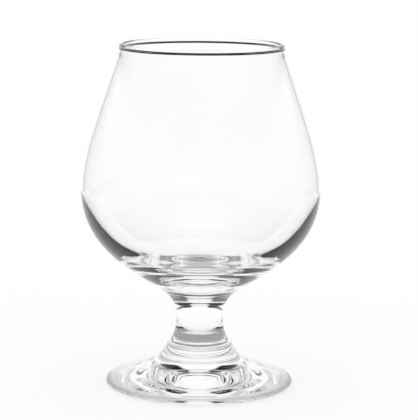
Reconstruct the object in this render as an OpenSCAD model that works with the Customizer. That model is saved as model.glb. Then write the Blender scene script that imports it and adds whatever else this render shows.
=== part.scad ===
// Brandy snifter of soda-lime glass: a blown bowl, a pressed stem and a pressed foot, fused end to end.
// Lengths are millimetres, and slopes are degrees away from upright. +Z is up.
// The origin is the centre of the plane that the foot rests on.

/* [Bowl] */
// Height of the bowl, from its joint with the stem to the top of the lip
bowl_h = 97; // [88:0.5:108]
// Outside diameter at the belly, the widest place
belly_d = 88.4; // [82:0.1:96]
// Height of the belly above the joint
belly_h = 43.5; // [40:0.5:48]
// Outside diameter of the mouth
mouth_d = 60.6; // [54:0.1:68]
// Thickness of the wall at the belly and above it
wall_t = 1.15; // [0.9:0.05:1.8]
// Slope of the shoulder where it meets the mouth
shoulder_slope = 18.7; // [14:0.1:22]
// Slope of the straight run under the bowl
underside_slope = 57.6; // [54:0.1:60]
// Height of the hollow curve from the joint to the straight run
root_h = 5.8; // [4.5:0.1:7]
// How far the hollow curve spreads past the joint
root_w = 4.9; // [4:0.1:6]
// Height of the middle of the inside floor above the joint
floor_h = 13.2; // [12:0.1:15]
// Diameter of the nearly flat middle of the inside floor
floor_d = 19; // [15:0.1:24]
// How far the inside heel stands in from the belly
heel_inset = 10; // [9:0.1:11]
// Height of the inside heel above the floor
heel_h = 11.3; // [10:0.1:12.5]

/* [Lip] */
// Thickness of the rounded, fire-polished lip
lip_t = 1.9; // [1.9:0.05:2.4]
// Height over which the wall turns upright under the lip
lip_turn_h = 3.9; // [3.3:0.1:5.5]
// Angle by which the bead of the lip curls under on the inside
lip_under = 70; // [45:1:80]

/* [Stem] */
// Length of the stem between its two joints
stem_h = 14; // [12:0.1:30]
// Diameter of the stem at its waist
waist_d = 17.4; // [15:0.1:18.4]
// Diameter of the joint between the stem and the bowl
neck_d = 19; // [18.6:0.1:20.6]
// Diameter of the collar at the lower end of the stem
collar_d = 21.6; // [20.6:0.1:24]
// Height of the rounded rim of the collar
collar_h = 1.1; // [0.8:0.1:1.5]

/* [Foot] */
// Diameter of the foot
foot_d = 69.6; // [64:0.1:76]
// Height of the foot, up to its joint with the stem
foot_h = 16; // [14.5:0.1:18]
// Width of the ledge round the collar
ledge_w = 1.1; // [0.5:0.1:1.8]
// Radius that rounds the outer corner of the ledge
ledge_round = 0.5; // [0.2:0.05:0.8]
// Radius at which the dome of the foot has run out into the disc
dome_r = 20.6; // [19:0.1:23]
// Height of the disc where the dome runs out
disc_h = 6.9; // [6:0.1:8]
// Thickness of the rounded edge of the disc
edge_t = 2.4; // [2:0.1:3]
// Width of the flat ring that the foot rests on
rest_w = 2; // [1.2:0.1:3]
// How far the resting ring stands in from the edge
rest_inset = 3.2; // [2.4:0.1:4.5]
// Depth of the shallow hollow under the foot
hollow_h = 2; // [1:0.1:3]

/* [Hidden] */
$fn = 144;
glass_colour = [0.86, 0.92, 0.93, 0.45];

// Steps along each curve of an outline
curve_steps = 14;
short_steps = 7;

// Places of the joints above the table
stem_z = foot_h;
bowl_z = foot_h + stem_h;

// Radii of the bowl
belly_r = belly_d / 2;
mouth_r = mouth_d / 2;
neck_r = neck_d / 2;
lip_r = lip_t / 2;

// Slope at which the stem runs into the root of the bowl, and slope of the floor at its rim
neck_slope = 22;
floor_slope = 85.7;
heel_slope = 46.3;

// Lengths of the curve handles, as shares of the rise or the spread that each curve covers
shoulder_share = 0.44;
over_belly_share = 0.25;
under_belly_share = 0.52;
run_share = 0.57;
root_shares = [0.42, 0.62];
heel_shares = [0.35, 0.4];
bottom_shares = [0.51, 0.645];
floor_share = 0.5;

// Handles of the hollow fillet between the bead of the lip and the wall, as shares of the bead's radius
// and of the height over which the wall turns
lip_fillet_share = 0.3;
lip_reach_share = 0.7;

// Height of the waist, as a share of the length of the stem, and the handles beside it
waist_share = 0.64;
waist_up_shares = [0.5, 0.5];
waist_down_shares = [0.45, 0.4];
collar_slope = 26;

// Handles of the foot's dome and disc, and the slopes at their ends
dome_slope = 28.5;
disc_slope = 76;
dome_share = 0.8;
disc_share = 0.42;
edge_slope = 84;
edge_shares = [0.4, 0.4];
hollow_share = 0.55;

// Unit vector that leans by a slope away from upright, towards the outside
function leaning(slope) = [sin(slope), cos(slope)];

// Cubic curve from a to d with the handle points b and c, without its first point
function curve(a, b, c, d, steps) = [for (i = [1 : steps]) let (t = i / steps, u = 1 - t)
    u * u * u * a + 3 * u * u * t * b + 3 * u * t * t * c + t * t * t * d];

// Round arc about a centre, without its first point
function arc(centre, radius, from, to, steps) = [for (i = [1 : steps])
    let (angle = from + (to - from) * i / steps) centre + radius * [cos(angle), sin(angle)]];

// Points of the bowl's outline that its curves share, from the joint at height zero
function root_top() = [neck_r + root_w, root_h];
function belly_at(inset) = [belly_r - inset, belly_h];
function lip_centre() = [mouth_r - lip_r, bowl_h - lip_r];
function shoulder_top() = lip_centre() + [lip_r + lip_turn_h * tan(shoulder_slope) / 2, -lip_turn_h];
function shoulder_inside() = shoulder_top() - wall_t * [cos(shoulder_slope), sin(shoulder_slope)];
function floor_rim() = [floor_d / 2, floor_h + floor_d / 4 * cos(floor_slope)];
function heel() = [belly_r - heel_inset, floor_h + heel_h];

// Shoulder curve from its top down to the belly, for either face of the wall
function shoulder(top, belly) = let (rise = top[1] - belly[1])
    [top, top - shoulder_share * rise * leaning(-shoulder_slope), belly + [0, over_belly_share * rise], belly];

function reversed(points) = [for (i = [len(points) - 1 : -1 : 0]) points[i]];

// Curve through the four control points in a list
function drawn(p, steps) = curve(p[0], p[1], p[2], p[3], steps);

function bowl_outside() =
    let (root = root_top(), belly = belly_at(0), top = shoulder_top(),
         spread = belly[0] - root[0], rise = belly[1] - root[1], centre = lip_centre())
    concat(
        [[neck_r, 0]],
        curve([neck_r, 0], [neck_r, 0] + root_shares[0] * root_h * leaning(neck_slope),
              root - root_shares[1] * root_w * leaning(underside_slope), root, short_steps),
        curve(root, root + run_share * spread * leaning(underside_slope),
              belly - [0, under_belly_share * rise], belly, 2 * curve_steps),
        drawn(reversed(shoulder(top, belly)), curve_steps),
        curve(top, top + lip_turn_h / 3 * leaning(-shoulder_slope),
              centre + [lip_r, -lip_turn_h / 3], centre + [lip_r, 0], short_steps),
        arc(centre, lip_r, 0, 180, 2 * short_steps));

function bowl_inside() =
    let (top = shoulder_inside(), belly = belly_at(wall_t), turn = heel(), rim = floor_rim(),
         drop = belly[1] - turn[1], spread = turn[0] - rim[0], last = 180 + lip_under,
         bead = lip_centre() + lip_r * [cos(last), sin(last)])
    concat(
        arc(lip_centre(), lip_r, 180, last, short_steps),
        curve(bead, bead + lip_fillet_share * lip_r * [-sin(last), cos(last)],
              top + lip_reach_share * lip_turn_h * leaning(-shoulder_slope), top, short_steps),
        drawn(shoulder(top, belly), curve_steps),
        curve(belly, belly - [0, heel_shares[0] * drop], turn + heel_shares[1] * drop * leaning(heel_slope),
              turn, curve_steps),
        curve(turn, turn - bottom_shares[0] * heel_h * leaning(heel_slope),
              rim + bottom_shares[1] * spread * leaning(floor_slope), rim, curve_steps),
        curve(rim, rim - floor_share * rim[0] * leaning(floor_slope),
              [floor_share * rim[0], floor_h], [0, floor_h], short_steps));

module bowl() {
    color(glass_colour)
        translate([0, 0, bowl_z])
            rotate_extrude()
                polygon(concat([[0, 0]], bowl_outside(), bowl_inside()));
}

function stem_outside() =
    let (collar = [collar_d / 2, 0], collar_top = [collar_d / 2 - collar_h * tan(collar_slope) / 2, collar_h],
         waist = [waist_d / 2, waist_share * stem_h], neck = [neck_r, stem_h],
         above = stem_h - waist[1], below = waist[1] - collar_h)
    concat(
        [collar],
        curve(collar, collar + [0, collar_h / 2], collar_top - collar_h / 3 * leaning(-collar_slope),
              collar_top, short_steps),
        curve(collar_top, collar_top + waist_down_shares[0] * below * leaning(-collar_slope),
              waist - [0, waist_down_shares[1] * below], waist, curve_steps),
        curve(waist, waist + [0, waist_up_shares[0] * above],
              neck - waist_up_shares[1] * above * leaning(neck_slope), neck, curve_steps));

module stem() {
    color(glass_colour)
        translate([0, 0, stem_z])
            rotate_extrude()
                polygon(concat([[0, 0]], stem_outside(), [[0, stem_h]]));
}

function foot_outside() =
    let (edge_r = foot_d / 2, half_edge = edge_t / 2, seat_r = collar_d / 2 + ledge_w,
         rest_outer = edge_r - rest_inset + rest_w / 2, rest_inner = rest_outer - rest_w,
         seat = [seat_r, foot_h - ledge_round], dome_end = [dome_r, disc_h],
         brow = [edge_r - half_edge, edge_t],
         fall = seat[1] - disc_h, spread = brow[0] - dome_r)
    concat(
        [[rest_inner, 0], [rest_outer, 0]],
        curve([rest_outer, 0], [edge_r - rest_inset / 3, 0], [edge_r, half_edge / 2],
              [edge_r, half_edge], short_steps),
        curve([edge_r, half_edge], [edge_r, half_edge * 3 / 2],
              brow - half_edge / 2 * leaning(-edge_slope), brow, short_steps),
        curve(brow, brow + edge_shares[0] * spread * leaning(-edge_slope),
              dome_end - edge_shares[1] * spread * leaning(-disc_slope), dome_end, curve_steps),
        curve(dome_end, dome_end + disc_share * fall * leaning(-disc_slope),
              seat - dome_share * fall * leaning(-dome_slope), seat, curve_steps),
        arc(seat - [ledge_round, 0], ledge_round, 0, 90, short_steps));

function foot_hollow() =
    let (rim_r = foot_d / 2 - rest_inset - rest_w / 2)
    curve([0, hollow_h], [hollow_share * rim_r, hollow_h], [(1 + hollow_share) / 2 * rim_r, hollow_h / 2],
          [rim_r, 0], curve_steps);

module foot() {
    color(glass_colour)
        rotate_extrude()
            polygon(concat([[0, foot_h], [0, hollow_h]], foot_hollow(), foot_outside()));
}

bowl();
stem();
foot();
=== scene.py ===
"""Brandy snifter of clear soda-lime glass: a bowl, a stem and a foot, fused end to end, on a pale table."""

import math

import bpy
from bpy.props import FloatProperty, FloatVectorProperty, IntProperty, PointerProperty
from mathutils import Matrix, Vector


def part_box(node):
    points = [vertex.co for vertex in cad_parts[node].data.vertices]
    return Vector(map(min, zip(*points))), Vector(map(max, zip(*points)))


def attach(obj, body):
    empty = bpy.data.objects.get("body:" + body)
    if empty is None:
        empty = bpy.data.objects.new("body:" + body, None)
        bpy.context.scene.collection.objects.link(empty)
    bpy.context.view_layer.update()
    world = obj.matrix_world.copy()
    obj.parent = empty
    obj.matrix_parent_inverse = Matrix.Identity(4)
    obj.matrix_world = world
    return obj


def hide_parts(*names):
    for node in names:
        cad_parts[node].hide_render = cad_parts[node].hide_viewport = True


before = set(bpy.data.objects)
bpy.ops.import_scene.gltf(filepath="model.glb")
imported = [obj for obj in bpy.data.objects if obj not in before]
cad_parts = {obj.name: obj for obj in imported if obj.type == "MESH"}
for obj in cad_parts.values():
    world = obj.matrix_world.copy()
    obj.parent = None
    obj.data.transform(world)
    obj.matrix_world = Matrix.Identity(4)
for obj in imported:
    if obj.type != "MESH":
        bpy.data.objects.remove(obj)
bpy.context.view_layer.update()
BOWL_LOW, BOWL_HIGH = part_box("bowl")
STEM_LOW, STEM_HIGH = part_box("stem")
FOOT_LOW, FOOT_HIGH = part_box("foot")

bl_info = {
    "name": "Brandy Snifter",
    "version": (1, 0, 0),
    "blender": (4, 5, 0),
    "location": "3D View > Sidebar > Snifter",
    "description": "Draws a clear brandy snifter from its sizes and sets it in a plain bright studio",
    "category": "Add Mesh",
}


def length(name, description, default):
    """A size in metres that the sidebar shows."""
    return FloatProperty(name=name, description=description, default=default,
                         min=0.0, precision=5, unit="LENGTH")


def slope(name, description, degrees):
    """An angle, given here in degrees. A slope leans away from upright."""
    return FloatProperty(name=name, description=description, default=math.radians(degrees),
                         subtype="ANGLE")


def share(name, description, default):
    """How far a curve's handle reaches, as a share of what the curve spans."""
    return FloatProperty(name=name, description=description, default=default,
                         min=0.0, max=1.0, subtype="FACTOR")


def shares(name, description, default):
    """The reach of the two handles of one curve, in the order in which the outline is drawn."""
    return FloatVectorProperty(name=name, description=description, default=default, size=2, min=0.0, max=1.0)


class BowlSizes(bpy.types.PropertyGroup):
    """Sizes of the blown bowl."""
    height: length("Height", "From the joint with the stem to the top of the lip", BOWL_HIGH.z - BOWL_LOW.z)
    belly: length("Belly", "Outside diameter at the widest place", BOWL_HIGH.x - BOWL_LOW.x)
    belly_height: length("Belly height", "Height of the widest place above the joint", 0.0435)
    mouth: length("Mouth", "Outside diameter of the lip", 0.0606)
    wall: length("Wall", "Thickness of the wall at the belly and above it", 0.00115)
    lip: length("Lip", "Thickness of the rounded lip", 0.0019)
    lip_turn: length("Lip turn", "Height over which the wall turns upright under the lip", 0.0039)
    lip_under: slope("Lip underside", "How far the bead rolls under on the inside, past its widest place", 70)
    lip_fillet: share("Lip fillet", "Reach of the fillet under the bead, as a share of the bead's radius", 0.3)
    lip_reach: share("Lip reach", "Reach of the wall's straight part under the bead", 0.7)
    shoulder_slope: slope("Shoulder slope", "Slope of the wall where it meets the mouth", 18.7)
    shoulder_share: share("Shoulder reach", "Reach of the shoulder's straight part", 0.44)
    over_belly_share: share("Over the belly", "Reach of the upright part over the belly", 0.25)
    under_belly_share: share("Under the belly", "Reach of the upright part under the belly", 0.52)
    run_slope: slope("Underside slope", "Slope of the straight run under the bowl", 57.6)
    run_share: share("Underside reach", "Reach of the straight run under the bowl", 0.57)
    root_height: length("Root height", "Height of the hollow curve over the joint", 0.0058)
    root_width: length("Root width", "How far the hollow curve spreads past the joint", 0.0049)
    root_shares: shares("Root reach", "Reach of the hollow curve's handles", (0.42, 0.62))
    floor_height: length("Floor height", "Height of the middle of the inside floor over the joint", 0.0132)
    floor_width: length("Floor width", "Diameter of the nearly flat middle of the inside floor", 0.019)
    floor_slope: slope("Floor slope", "Slope at the rim of the inside floor", 85.7)
    floor_share: share("Floor reach", "Reach of the floor's handles", 0.5)
    heel_inset: length("Heel inset", "How far the inside heel stands in from the belly", 0.01)
    heel_height: length("Heel height", "Height of the inside heel over the floor", 0.0113)
    heel_slope: slope("Heel slope", "Slope of the wall at the inside heel", 46.3)
    heel_shares: shares("Heel reach", "Reach of the handles between the belly and the heel", (0.35, 0.4))
    bottom_shares: shares("Bottom reach", "Reach of the handles between the heel and the floor", (0.51, 0.645))


class StemSizes(bpy.types.PropertyGroup):
    """Sizes of the pressed stem."""
    height: length("Height", "From the joint with the foot to the joint with the bowl",
                   STEM_HIGH.z - STEM_LOW.z)
    neck: length("Neck", "Diameter of the joint with the bowl", 0.019)
    neck_slope: slope("Neck slope", "Slope at which the stem runs into the bowl", 22)
    waist: length("Waist", "Diameter of the narrowest place", 0.0174)
    waist_share: share("Waist height", "Height of the narrowest place", 0.64)
    over_waist_shares: shares("Over the waist", "Reach of the handles over the narrowest place", (0.5, 0.5))
    under_waist_shares: shares("Under the waist", "Reach of the handles under the narrowest place",
                               (0.45, 0.4))
    collar: length("Collar", "Diameter of the collar at the lower end", STEM_HIGH.x - STEM_LOW.x)
    collar_height: length("Collar height", "Height of the collar's rounded rim", 0.0011)
    collar_slope: slope("Collar slope", "Slope at which the collar runs into the stem", 26)


class FootSizes(bpy.types.PropertyGroup):
    """Sizes of the pressed foot. Its hollow is deeper than the solid's, to bend light as photographed."""
    height: length("Height", "From the table to the joint with the stem", FOOT_HIGH.z - FOOT_LOW.z)
    width: length("Width", "Diameter of the foot", FOOT_HIGH.x - FOOT_LOW.x)
    ledge: length("Ledge", "Width of the ledge round the collar", 0.0011)
    ledge_round: length("Ledge corner", "Radius that rounds the ledge's outer corner", 0.0005)
    dome_radius: length("Dome radius", "Radius at which the dome has run out into the disc", 0.0206)
    dome_slope: slope("Dome slope", "Slope of the dome under the ledge", 28.5)
    dome_share: share("Dome reach", "Reach of the dome's upper handle", 0.8)
    disc_height: length("Disc height", "Height of the disc where the dome runs out", 0.0069)
    disc_slope: slope("Disc slope", "Slope of the disc where the dome runs out", 76)
    disc_share: share("Disc reach", "Reach of the dome's lower handle", 0.42)
    edge: length("Edge", "Thickness of the rounded edge", 0.0024)
    edge_slope: slope("Edge slope", "Slope of the disc at its edge", 84)
    edge_shares: shares("Edge reach", "Reach of the handles between the edge and the dome", (0.4, 0.4))
    rest_width: length("Rest width", "Width of the flat ring that the foot rests on", 0.002)
    rest_inset: length("Rest inset", "How far the resting ring stands in from the edge", 0.0032)
    hollow: length("Hollow", "Depth of the shallow hollow underneath", 0.0036)
    hollow_share: share("Hollow reach", "How much of the hollow is nearly flat", 0.2)


class GlassLook(bpy.types.PropertyGroup):
    """Finish of the glass, and how finely it is drawn."""
    clear: FloatVectorProperty(name="Clear", description="Tint where the melt is clearest", size=3,
                               min=0, max=1, subtype="COLOR", default=(0.998, 0.999, 0.999))
    tinted: FloatVectorProperty(name="Tinted", description="Tint where the melt is cooler", size=3,
                                min=0, max=1, subtype="COLOR", default=(0.988, 0.993, 0.992))
    ior: FloatProperty(name="Bending", description="Index of refraction of soda-lime glass",
                       default=1.51, min=1.0)
    mirror: FloatProperty(name="Mirror", description="Share of the reflection kept where it is seen head on",
                          default=0.4, min=0, max=1)
    polish: FloatProperty(name="Polish", description="Roughness of the fire-polished surface",
                          default=0.004, min=0)
    rub: FloatProperty(name="Rub", description="Roughness where the foot rubs the table",
                       default=0.22, min=0, max=1)
    rub_height: length("Rub height", "Height up to which the resting ring is rubbed", 0.0002)
    melt_size: length("Melt size", "Size of the slow drift of tint in the melt", 0.03)
    melt_detail: FloatProperty(name="Melt detail", description="Detail of that drift", default=2.0, min=0)
    melt_range: FloatVectorProperty(name="Melt range", description="Noise between which the tint drifts",
                                    size=2, default=(0.3, 0.7))
    wave_size: length("Wave size", "Size of the soft waves that the mould leaves", 0.009)
    wave_detail: FloatProperty(name="Wave detail", description="Detail of those waves", default=1.0, min=0)
    wave_depth: length("Wave depth", "Depth of those waves", 0.000004)
    steps: IntProperty(name="Steps round", description="Steps of one whole turn", default=240, min=24)
    fineness: IntProperty(name="Fineness", description="Steps along each curve of an outline",
                          default=18, min=4)
    crease: slope("Crease", "Angle between faces above which an edge stays sharp", 30)
    weld: FloatProperty(name="Weld", description="Distance at which points of a piece become one",
                        default=1e-6, precision=7, unit="LENGTH")


class StudioLook(bpy.types.PropertyGroup):
    """Table, light and camera. Round the glass, 0 degrees is straight behind it, seen from the camera."""
    table: length("Table", "Width of the table", 0.9)
    gap: length("Gap", "Air left between the foot and the table", 0.00005)
    pale: FloatProperty(name="Pale", description="Lightness of the table", default=0.32, min=0, max=1)
    # Painted shadow: within this radius the table's glow is cut, so a grey disc lies under the glass on top of
    # its real shadow.
    shade: length("Shade", "Radius under the glass within which the table is left in its shadow", 0.026)
    shade_soft: length("Shade, softness", "Width of the border of that shade", 0.009)
    shade_glow: FloatProperty(name="Shade, glow", description="Light that the table sends from the shade",
                              default=0.2, min=0, max=1)
    bounces: IntProperty(name="Bounces", description="Turns after which light caught inside the glass is lost",
                         default=16, min=4)
    clear_bounces: IntProperty(name="Clear bounces", description="Clear faces that light may pass",
                               default=40, min=4)
    screen: length("Screen", "Radius of the black band that hangs round the glass", 0.088)
    screen_steps: IntProperty(name="Screen, steps", description="Flat stretches round it", default=120, min=24)
    screen_low: length("Screen, low", "Height of the lower end of the band", 0.1285)
    screen_high: length("Screen, high", "Height of its upper end, open to the ceiling light", 0.3)
    screen_soft: length("Screen, softness", "Height of the fade at its lower end", 0.01)
    room_low: slope("Room, low", "Elevation at which the dark sides of the room begin", 19)
    room_high: slope("Room, high", "Elevation at which they end under the ceiling light", 66)
    room_side: slope("Room, side", "Half width of the bright wall behind the glass", 14)
    side_low: slope("Side, low", "Elevation at which the grey sides begin, seen in the edges of walls", -9)
    side_high: slope("Side, high", "Elevation at which the grey sides end", 8)
    side_turn: slope("Side, turn", "How far round the grey sides begin", 17)
    side_back: slope("Side, back", "How far round the grey sides end", 100)
    side_grey: FloatProperty(name="Side, grey", description="Brightness of the grey sides", default=0.54,
                             min=0, max=1)
    soft: slope("Softness", "Width of the fade at the borders in the room", 5)
    dark: FloatProperty(name="Dark", description="Brightness of the dark room and the black band", default=0.0,
                        min=0, max=1)
    camera_place: FloatVectorProperty(name="Camera", description="Place of the camera", size=3, unit="LENGTH",
                                      default=(0.0, -0.689, 0.18))
    camera_tilt: slope("Tilt", "How far the camera looks down", 9.44)
    camera_roll: slope("Roll", "How far the camera leans", 0.5)
    lens: FloatProperty(name="Lens", description="Focal length in millimetres", default=161.66, min=1.0)
    sensor: FloatProperty(name="Sensor", description="Width of the sensor in millimetres",
                          default=36.0, min=1.0)
    shift: FloatProperty(name="Shift", description="Sideways shift of the picture", default=0.0202)


def leaning(angle):
    """Unit vector that leans away from upright, towards the outside."""
    return Vector((math.sin(angle), math.cos(angle)))


class Outline:
    """Half outline of a turned piece, in radius and height, from knot to knot."""

    def __init__(self, start):
        self.knots = [[start, start, start]]
        self.straight = set()

    def line(self, end):
        """Straight stretch to a point."""
        self.straight.add(len(self.knots))
        self.knots.append([end, end, end])

    def curve(self, leave, arrive, end):
        """Curved stretch to a point, with the handle that leaves the last knot and the one that arrives."""
        self.knots[-1][2] = leave
        self.knots.append([arrive, end, end])

    @staticmethod
    def heading(angle):
        """Unit vector along an anticlockwise arc, where it has turned by an angle."""
        return Vector((-math.sin(angle), math.cos(angle)))

    def arc(self, centre, radius, start, sweep):
        """Part of a circle, anticlockwise from the angle at which it starts, over up to a quarter turn."""
        reach = radius * 4 / 3 * math.tan(sweep / 4)
        end = centre + radius * Vector((math.cos(start + sweep), math.sin(start + sweep)))
        self.curve(self.knots[-1][1] + reach * self.heading(start),
                   end - reach * self.heading(start + sweep), end)

    def raised(self, height):
        """Lifts the whole outline."""
        self.knots = [[place + Vector((0, height)) for place in knot] for knot in self.knots]
        return self


def turned(name, outline, glass):
    """Draws the outline as a curve and spins it into a closed piece round the upright axis."""
    bpy.ops.object.select_all(action="DESELECT")
    bpy.ops.curve.primitive_bezier_curve_add(location=(0, 0, 0))
    piece = bpy.context.object
    piece.name = piece.data.name = name
    piece.data.dimensions = "3D"
    drawn = piece.data.splines[0]
    drawn.resolution_u = piece.data.resolution_u = glass.fineness
    drawn.bezier_points.add(len(outline.knots) - len(drawn.bezier_points))
    for index, (point, knot) in enumerate(zip(drawn.bezier_points, outline.knots)):
        point.handle_left_type = "VECTOR" if index in outline.straight else "FREE"
        point.handle_right_type = "VECTOR" if index + 1 in outline.straight else "FREE"
        point.handle_left, point.co, point.handle_right = (Vector((place.x, 0, place.y)) for place in knot)
    bpy.ops.object.convert(target="MESH")
    piece = bpy.context.object
    bpy.ops.object.mode_set(mode="EDIT")
    bpy.ops.mesh.select_all(action="SELECT")
    bpy.ops.mesh.spin(steps=glass.steps, angle=2 * math.pi, center=(0, 0, 0), axis=(0, 0, 1))
    bpy.ops.mesh.select_all(action="SELECT")
    bpy.ops.mesh.remove_doubles(threshold=glass.weld)
    bpy.ops.mesh.normals_make_consistent(inside=False)
    bpy.ops.object.mode_set(mode="OBJECT")
    bpy.ops.object.shade_smooth_by_angle(angle=glass.crease)
    return piece


def finish_piece(piece, node, glass, joints):
    """Gives a piece its glass, and its fused joints, which the light passes without bending."""
    piece.data.materials.clear()
    piece.data.materials.append(polished_glass(glass))
    piece.data.materials.append(fused_joint())
    for face in piece.data.polygons:
        place = face.center
        if any(abs(place.z - height) < glass.weld and math.hypot(place.x, place.y) < radius
               for height, radius in joints):
            face.material_index = 1
    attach(piece, "root")
    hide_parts(node)


class Wire:
    """A number in a shader, so that its maths reads as plain arithmetic."""

    def __init__(self, recipe, socket):
        self.recipe, self.socket = recipe, socket

    def maths(self, operation, *values):
        return self.recipe.node("ShaderNodeMath", {"operation": operation}, dict(enumerate(values))).value()

    def __add__(self, other):
        return self.maths("ADD", self, other)

    def __sub__(self, other):
        return self.maths("SUBTRACT", self, other)

    def __rsub__(self, other):
        return self.maths("SUBTRACT", other, self)

    def __mul__(self, other):
        return self.maths("MULTIPLY", self, other)

    def __lt__(self, other):
        return self.maths("LESS_THAN", self, other)

    __radd__, __rmul__ = __add__, __mul__

    def none(self):
        """1 where a count of bounces is 0, and 0 elsewhere."""
        return self < 0.5

    def fade(self, low, high):
        """Smooth rise from 0 at low to 1 at high."""
        return self.recipe.node("ShaderNodeMapRange", {"interpolation_type": "SMOOTHSTEP"},
                                {"Value": self, "From Min": low, "From Max": high}).value("Result")


class Made:
    """A node that was added, which hands out its sockets."""

    def __init__(self, recipe, node):
        self.recipe, self.made = recipe, node

    def value(self, name=0):
        return Wire(self.recipe, self.made.outputs[name])


class Recipe:
    """A node tree that a finish or a light is written into."""

    def __init__(self, owner):
        owner.use_nodes = True
        self.tree = owner.node_tree
        self.tree.nodes.clear()

    def node(self, kind, settings=None, sockets=None):
        """Adds a node of any kind: its settings first, then a number, a colour or a link for each socket."""
        made = self.tree.nodes.new(kind)
        for key, setting in (settings or {}).items():
            setattr(made, key, setting)
        for key, given in (sockets or {}).items():
            if isinstance(given, Wire):
                self.tree.links.new(given.socket, made.inputs[key])
            else:
                made.inputs[key].default_value = given
        return Made(self, made)


def polished_glass(look):
    """Clear glass with a faint drift of tint, the soft waves of the mould, and a rubbed resting ring."""
    kept = bpy.data.materials.get("polished_glass")
    if kept:
        return kept
    material = bpy.data.materials.new("polished_glass")
    recipe = Recipe(material)
    place = recipe.node("ShaderNodeTexCoord").value("Object")
    height = recipe.node("ShaderNodeSeparateXYZ", {}, {0: place}).value("Z")
    melt = recipe.node("ShaderNodeTexNoise", {}, {"Vector": place, "Scale": 1 / look.melt_size,
                                                  "Detail": look.melt_detail}).value().fade(*look.melt_range)
    waves = recipe.node("ShaderNodeTexNoise", {}, {"Vector": place, "Scale": 1 / look.wave_size,
                                                   "Detail": look.wave_detail}).value()
    bump = recipe.node("ShaderNodeBump", {}, {"Strength": 1.0, "Distance": look.wave_depth,
                                              "Height": waves}).value("Normal")
    tint = recipe.node("ShaderNodeMix", {"data_type": "RGBA"},
                       {0: melt, 6: (*look.clear, 1), 7: (*look.tinted, 1)}).value(2)
    rubbed = 1 - height.fade(0.0, look.rub_height)
    roughness = rubbed * look.rub + look.polish
    shader = recipe.node("ShaderNodeBsdfPrincipled", {}, {
        "Base Color": tint, "Roughness": roughness, "Normal": bump,
        "IOR": look.ior, "Transmission Weight": 1.0,
        "Specular Tint": (look.mirror, look.mirror, look.mirror, 1)}).value("BSDF")
    recipe.node("ShaderNodeOutputMaterial", {}, {"Surface": shader})
    return material


def fused_joint():
    """The place inside the glass where two pieces were fused, which nothing shows."""
    kept = bpy.data.materials.get("fused_joint")
    if kept:
        return kept
    material = bpy.data.materials.new("fused_joint")
    recipe = Recipe(material)
    shader = recipe.node("ShaderNodeBsdfPrincipled", {}, {
        "Base Color": (1, 1, 1, 1), "Alpha": 0.0}).value("BSDF")
    recipe.node("ShaderNodeOutputMaterial", {}, {"Surface": shader})
    return material


class SNIFTER_OT_bowl(bpy.types.Operator):
    """Turn the blown bowl, with its rounded lip, thin wall and heavy bottom"""
    bl_idname = "snifter.bowl"
    bl_label = "Bowl"

    def execute(self, context):
        size, stem, glass = context.scene.snifter_bowl, context.scene.snifter_stem, context.scene.snifter_glass
        neck, lip = stem.neck / 2, size.lip / 2
        lean_in = leaning(-size.shoulder_slope)
        root = Vector((neck + size.root_width, size.root_height))
        belly = Vector((size.belly / 2, size.belly_height))
        bead = Vector((size.mouth / 2 - lip, size.height - lip))
        top = bead + Vector((lip + size.lip_turn * math.tan(size.shoulder_slope) / 2, -size.lip_turn))
        inner_top = top - size.wall * Vector((math.cos(size.shoulder_slope), math.sin(size.shoulder_slope)))
        inner_belly = belly - Vector((size.wall, 0))
        heel = Vector((size.belly / 2 - size.heel_inset, size.floor_height + size.heel_height))
        flat = size.floor_width / 2
        rim = Vector((flat, size.floor_height + flat / 2 * math.cos(size.floor_slope)))
        run, spread = leaning(size.run_slope), belly.x - root.x

        half = Outline(Vector((0, 0)))
        half.line(Vector((neck, 0)))
        half.curve(half.knots[-1][1] + size.root_shares[0] * size.root_height * leaning(stem.neck_slope),
                   root - size.root_shares[1] * size.root_width * run, root)
        half.curve(root + size.run_share * spread * run,
                   belly - Vector((0, size.under_belly_share * (belly.y - root.y))), belly)
        half.curve(belly + Vector((0, size.over_belly_share * (top.y - belly.y))),
                   top - size.shoulder_share * (top.y - belly.y) * lean_in, top)
        half.curve(top + size.lip_turn / 3 * lean_in, bead + Vector((lip, -size.lip_turn / 3)),
                   bead + Vector((lip, 0)))
        half.arc(bead, lip, 0, math.pi / 2)
        half.arc(bead, lip, math.pi / 2, math.pi / 2)
        half.arc(bead, lip, math.pi, size.lip_under)
        half.curve(half.knots[-1][1] + size.lip_fillet * lip * half.heading(math.pi + size.lip_under),
                   inner_top + size.lip_reach * size.lip_turn * lean_in, inner_top)
        half.curve(inner_top - size.shoulder_share * (inner_top.y - inner_belly.y) * lean_in,
                   inner_belly + Vector((0, size.over_belly_share * (inner_top.y - inner_belly.y))),
                   inner_belly)
        drop, heel_way = inner_belly.y - heel.y, leaning(size.heel_slope)
        half.curve(inner_belly - Vector((0, size.heel_shares[0] * drop)),
                   heel + size.heel_shares[1] * drop * heel_way, heel)
        half.curve(heel - size.bottom_shares[0] * size.heel_height * heel_way,
                   rim + size.bottom_shares[1] * (heel.x - rim.x) * leaning(size.floor_slope), rim)
        half.curve(rim - size.floor_share * flat * leaning(size.floor_slope),
                   Vector((size.floor_share * flat, size.floor_height)), Vector((0, size.floor_height)))
        piece = turned("glass_bowl", half.raised(BOWL_LOW.z), glass)
        finish_piece(piece, "bowl", glass, [(BOWL_LOW.z, neck)])
        return {"FINISHED"}


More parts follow.
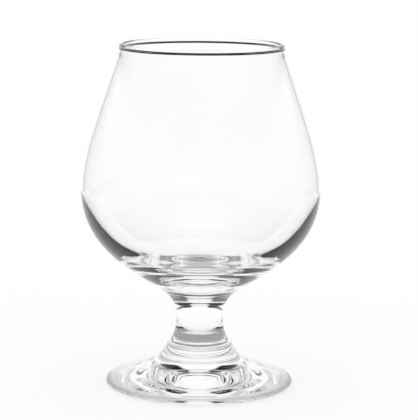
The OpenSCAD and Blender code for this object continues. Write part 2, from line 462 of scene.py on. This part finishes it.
class SNIFTER_OT_stem(bpy.types.Operator):
    """Turn the short pressed stem, from its collar to its neck"""
    bl_idname = "snifter.stem"
    bl_label = "Stem"

    def execute(self, context):
        size, glass = context.scene.snifter_stem, context.scene.snifter_glass
        lean_in = leaning(-size.collar_slope)
        collar = Vector((size.collar / 2, 0))
        shoulder = Vector((collar.x - size.collar_height * math.tan(size.collar_slope) / 2,
                           size.collar_height))
        waist = Vector((size.waist / 2, size.waist_share * size.height))
        neck = Vector((size.neck / 2, size.height))
        over, under = neck.y - waist.y, waist.y - shoulder.y

        half = Outline(Vector((0, 0)))
        half.line(collar)
        half.curve(collar + Vector((0, size.collar_height / 2)),
                   shoulder - size.collar_height / 3 * lean_in, shoulder)
        half.curve(shoulder + size.under_waist_shares[0] * under * lean_in,
                   waist - Vector((0, size.under_waist_shares[1] * under)), waist)
        half.curve(waist + Vector((0, size.over_waist_shares[0] * over)),
                   neck - size.over_waist_shares[1] * over * leaning(size.neck_slope), neck)
        half.line(Vector((0, size.height)))
        piece = turned("glass_stem", half.raised(STEM_LOW.z), glass)
        finish_piece(piece, "stem", glass, [(STEM_LOW.z, collar.x), (STEM_HIGH.z, neck.x)])
        return {"FINISHED"}


class SNIFTER_OT_foot(bpy.types.Operator):
    """Turn the pressed foot, with its dome, its disc and the shallow hollow underneath"""
    bl_idname = "snifter.foot"
    bl_label = "Foot"

    def execute(self, context):
        size, stem, glass = context.scene.snifter_foot, context.scene.snifter_stem, context.scene.snifter_glass
        edge, half_edge, collar = size.width / 2, size.edge / 2, stem.collar / 2
        rest_out = Vector((edge - size.rest_inset + size.rest_width / 2, 0))
        rest_in = rest_out - Vector((size.rest_width, 0))
        brow = Vector((edge - half_edge, size.edge))
        side = Vector((edge, half_edge))
        out = Vector((size.dome_radius, size.disc_height))
        seat = Vector((collar + size.ledge, size.height - size.ledge_round))
        fall, spread = seat.y - out.y, brow.x - out.x
        inward, reach = leaning(-size.edge_slope), size.hollow_share * rest_in.x

        half = Outline(Vector((0, size.hollow)))
        half.curve(Vector((reach, size.hollow)), Vector(((reach + rest_in.x) / 2, size.hollow / 2)), rest_in)
        half.line(rest_out)
        half.curve(Vector((edge - size.rest_inset / 3, 0)), side - Vector((0, half_edge / 2)), side)
        half.curve(side + Vector((0, half_edge / 2)), brow - half_edge / 2 * inward, brow)
        half.curve(brow + size.edge_shares[0] * spread * inward,
                   out - size.edge_shares[1] * spread * leaning(-size.disc_slope), out)
        half.curve(out + size.disc_share * fall * leaning(-size.disc_slope),
                   seat - size.dome_share * fall * leaning(-size.dome_slope), seat)
        half.arc(seat - Vector((size.ledge_round, 0)), size.ledge_round, 0, math.pi / 2)
        half.line(Vector((collar, size.height)))
        half.line(Vector((0, size.height)))
        piece = turned("glass_foot", half, glass)
        finish_piece(piece, "foot", glass, [(size.height, collar)])
        return {"FINISHED"}


class SNIFTER_OT_stage(bpy.types.Operator):
    """Lay the pale table, set the soft light round it and place the camera"""
    bl_idname = "snifter.stage"
    bl_label = "Stage"

    def execute(self, context):
        look = context.scene.snifter_studio
        self.table(look)
        self.screen(look)
        self.light(look)
        self.camera(look)
        scene = context.scene
        scene.view_settings.view_transform = "Standard"
        cycles = scene.cycles
        cycles.max_bounces = cycles.transmission_bounces = cycles.glossy_bounces = look.bounces
        cycles.transparent_max_bounces = look.clear_bounces
        return {"FINISHED"}

    def table(self, look):
        """Pale table, which keeps the shadow of the glass and glows outside it. Under the glass the glow is
        cut in a disc, a painted shadow.
        """
        bpy.ops.object.select_all(action="DESELECT")
        bpy.ops.mesh.primitive_plane_add(size=look.table, location=(0, 0, -look.gap))
        table = bpy.context.object
        table.name = "table"
        bpy.ops.object.transform_apply(location=True)
        material = bpy.data.materials.new("pale_table")
        recipe = Recipe(material)
        rays = recipe.node("ShaderNodeLightPath")
        seen = rays.value("Is Camera Ray") + rays.value("Is Glossy Ray") + rays.value("Is Transmission Ray")
        place = recipe.node("ShaderNodeTexCoord").value("Object")
        away = recipe.node("ShaderNodeVectorMath", {"operation": "LENGTH"}, {0: place}).value("Value")
        # Painted shadow: the glow fades out towards the axis, which darkens the table in a disc under the
        # glass.
        glow = away.fade(look.shade - look.shade_soft, look.shade) * (1 - look.pale - look.shade_glow)
        glow = (glow + look.shade_glow) * seen.maths("MINIMUM", seen, 1.0)
        shader = recipe.node("ShaderNodeBsdfPrincipled", {}, {
            "Base Color": (look.pale, look.pale, look.pale, 1), "Roughness": 1.0, "Specular IOR Level": 0.0,
            "Emission Color": (1, 1, 1, 1), "Emission Strength": glow})
        recipe.node("ShaderNodeOutputMaterial", {}, {"Surface": shader.value("BSDF")})
        table.data.materials.append(material)

    def screen(self, look):
        """Black band over the glass, which only light that the glass bends can reach."""
        bpy.ops.object.select_all(action="DESELECT")
        low = look.screen_low - look.screen_soft / 2
        middle = (look.screen_high + low) / 2
        bpy.ops.mesh.primitive_cylinder_add(vertices=look.screen_steps, radius=look.screen,
                                            depth=look.screen_high - low, end_fill_type="NOTHING",
                                            location=(0, 0, middle))
        screen = bpy.context.object
        screen.name = "screen"
        bpy.ops.object.transform_apply(location=True)
        bpy.ops.object.shade_smooth()
        material = bpy.data.materials.new("screen_cloth")
        recipe = Recipe(material)
        place = recipe.node("ShaderNodeTexCoord").value("Object")
        height = recipe.node("ShaderNodeSeparateXYZ", {}, {0: place}).value("Z")
        diffuse = recipe.node("ShaderNodeLightPath").value("Diffuse Depth")
        black = height.fade(low, low + look.screen_soft) * diffuse.none()
        cloth = recipe.node("ShaderNodeEmission", {}, {"Strength": look.dark}).value()
        clear = recipe.node("ShaderNodeBsdfTransparent").value()
        shader = recipe.node("ShaderNodeMixShader", {}, {0: black, 1: clear, 2: cloth}).value()
        recipe.node("ShaderNodeOutputMaterial", {}, {"Surface": shader})
        screen.data.materials.append(material)
        screen.visible_camera = screen.visible_diffuse = screen.visible_glossy = screen.visible_shadow = False

    def light(self, look):
        """White all round, but for the dark and the grey sides that thick glass bends into view."""
        world = bpy.data.worlds.new("studio")
        bpy.context.scene.world = world
        recipe = Recipe(world)
        rays = recipe.node("ShaderNodeLightPath")
        aim = recipe.node("ShaderNodeTexCoord").value("Generated")
        way = recipe.node("ShaderNodeSeparateXYZ", {}, {0: aim})
        rise = way.value("Z").maths("ARCSINE", way.value("Z"))
        turn = rise.maths("ABSOLUTE", rise.maths("ARCTAN2", way.value("X"), way.value("Y")))
        room = self.between(rise, look.room_low, look.room_high, look.soft) * (1 - look.dark)
        room = room * turn.fade(look.room_side - look.soft / 2, look.room_side + look.soft / 2)
        side = turn.fade(look.side_turn, look.side_turn + look.soft)
        side = side * (1 - turn.fade(look.side_back, look.side_back + look.soft))
        side = side * self.between(rise, look.side_low, look.side_high, look.soft) * (1 - look.side_grey)
        side = side * (1 - rays.value("Glossy Depth").none())
        bent = rays.value("Is Transmission Ray") * rays.value("Diffuse Depth").none()
        shader = recipe.node("ShaderNodeBackground", {}, {
            "Color": (1, 1, 1, 1), "Strength": 1 - room.maths("MAXIMUM", room, side) * bent}).value()
        recipe.node("ShaderNodeOutputWorld", {}, {"Surface": shader})

    @staticmethod
    def between(angle, low, high, soft):
        """Rises from 0 to 1 over the lower angle, and falls again over the higher one."""
        return angle.fade(low - soft / 2, low + soft / 2) * (1 - angle.fade(high - soft / 2, high + soft / 2))

    def camera(self, look):
        """Camera at the place, tilt and lens that were fitted to the outline in the photograph."""
        bpy.ops.object.select_all(action="DESELECT")
        tilt = Matrix.Rotation(math.pi / 2 - look.camera_tilt, 4, "X")
        turn = tilt @ Matrix.Rotation(look.camera_roll, 4, "Z")
        bpy.ops.object.camera_add(location=look.camera_place, rotation=turn.to_euler())
        camera = bpy.context.object
        camera.data.sensor_width, camera.data.lens, camera.data.shift_x = look.sensor, look.lens, look.shift
        bpy.context.scene.camera = camera


class SNIFTER_PT_sidebar(bpy.types.Panel):
    """Sizes and steps of the snifter"""
    bl_label = "Snifter"
    bl_idname = "SNIFTER_PT_sidebar"
    bl_space_type = "VIEW_3D"
    bl_region_type = "UI"
    bl_category = "Snifter"

    def draw(self, context):
        for operator, group in PARTS:
            box = self.layout.box()
            box.operator(operator)
            owner = getattr(context.scene, group)
            for key in owner.__annotations__:
                box.prop(owner, key)


PARTS = [("snifter.bowl", "snifter_bowl"), ("snifter.stem", "snifter_stem"), ("snifter.foot", "snifter_foot"),
         ("snifter.stage", "snifter_studio")]
GROUPS = {"snifter_bowl": BowlSizes, "snifter_stem": StemSizes, "snifter_foot": FootSizes,
          "snifter_glass": GlassLook, "snifter_studio": StudioLook}
CLASSES = [*GROUPS.values(), SNIFTER_OT_bowl, SNIFTER_OT_stem, SNIFTER_OT_foot, SNIFTER_OT_stage,
           SNIFTER_PT_sidebar]


def register():
    for made in CLASSES:
        bpy.utils.register_class(made)
    for name, group in GROUPS.items():
        setattr(bpy.types.Scene, name, PointerProperty(type=group))


def unregister():
    for name in GROUPS:
        delattr(bpy.types.Scene, name)
    for made in reversed(CLASSES):
        bpy.utils.unregister_class(made)


def main():
    register()
    bpy.ops.snifter.foot()
    bpy.ops.snifter.stem()
    bpy.ops.snifter.bowl()
    bpy.ops.snifter.stage()


if __name__ == "__main__":
    main()
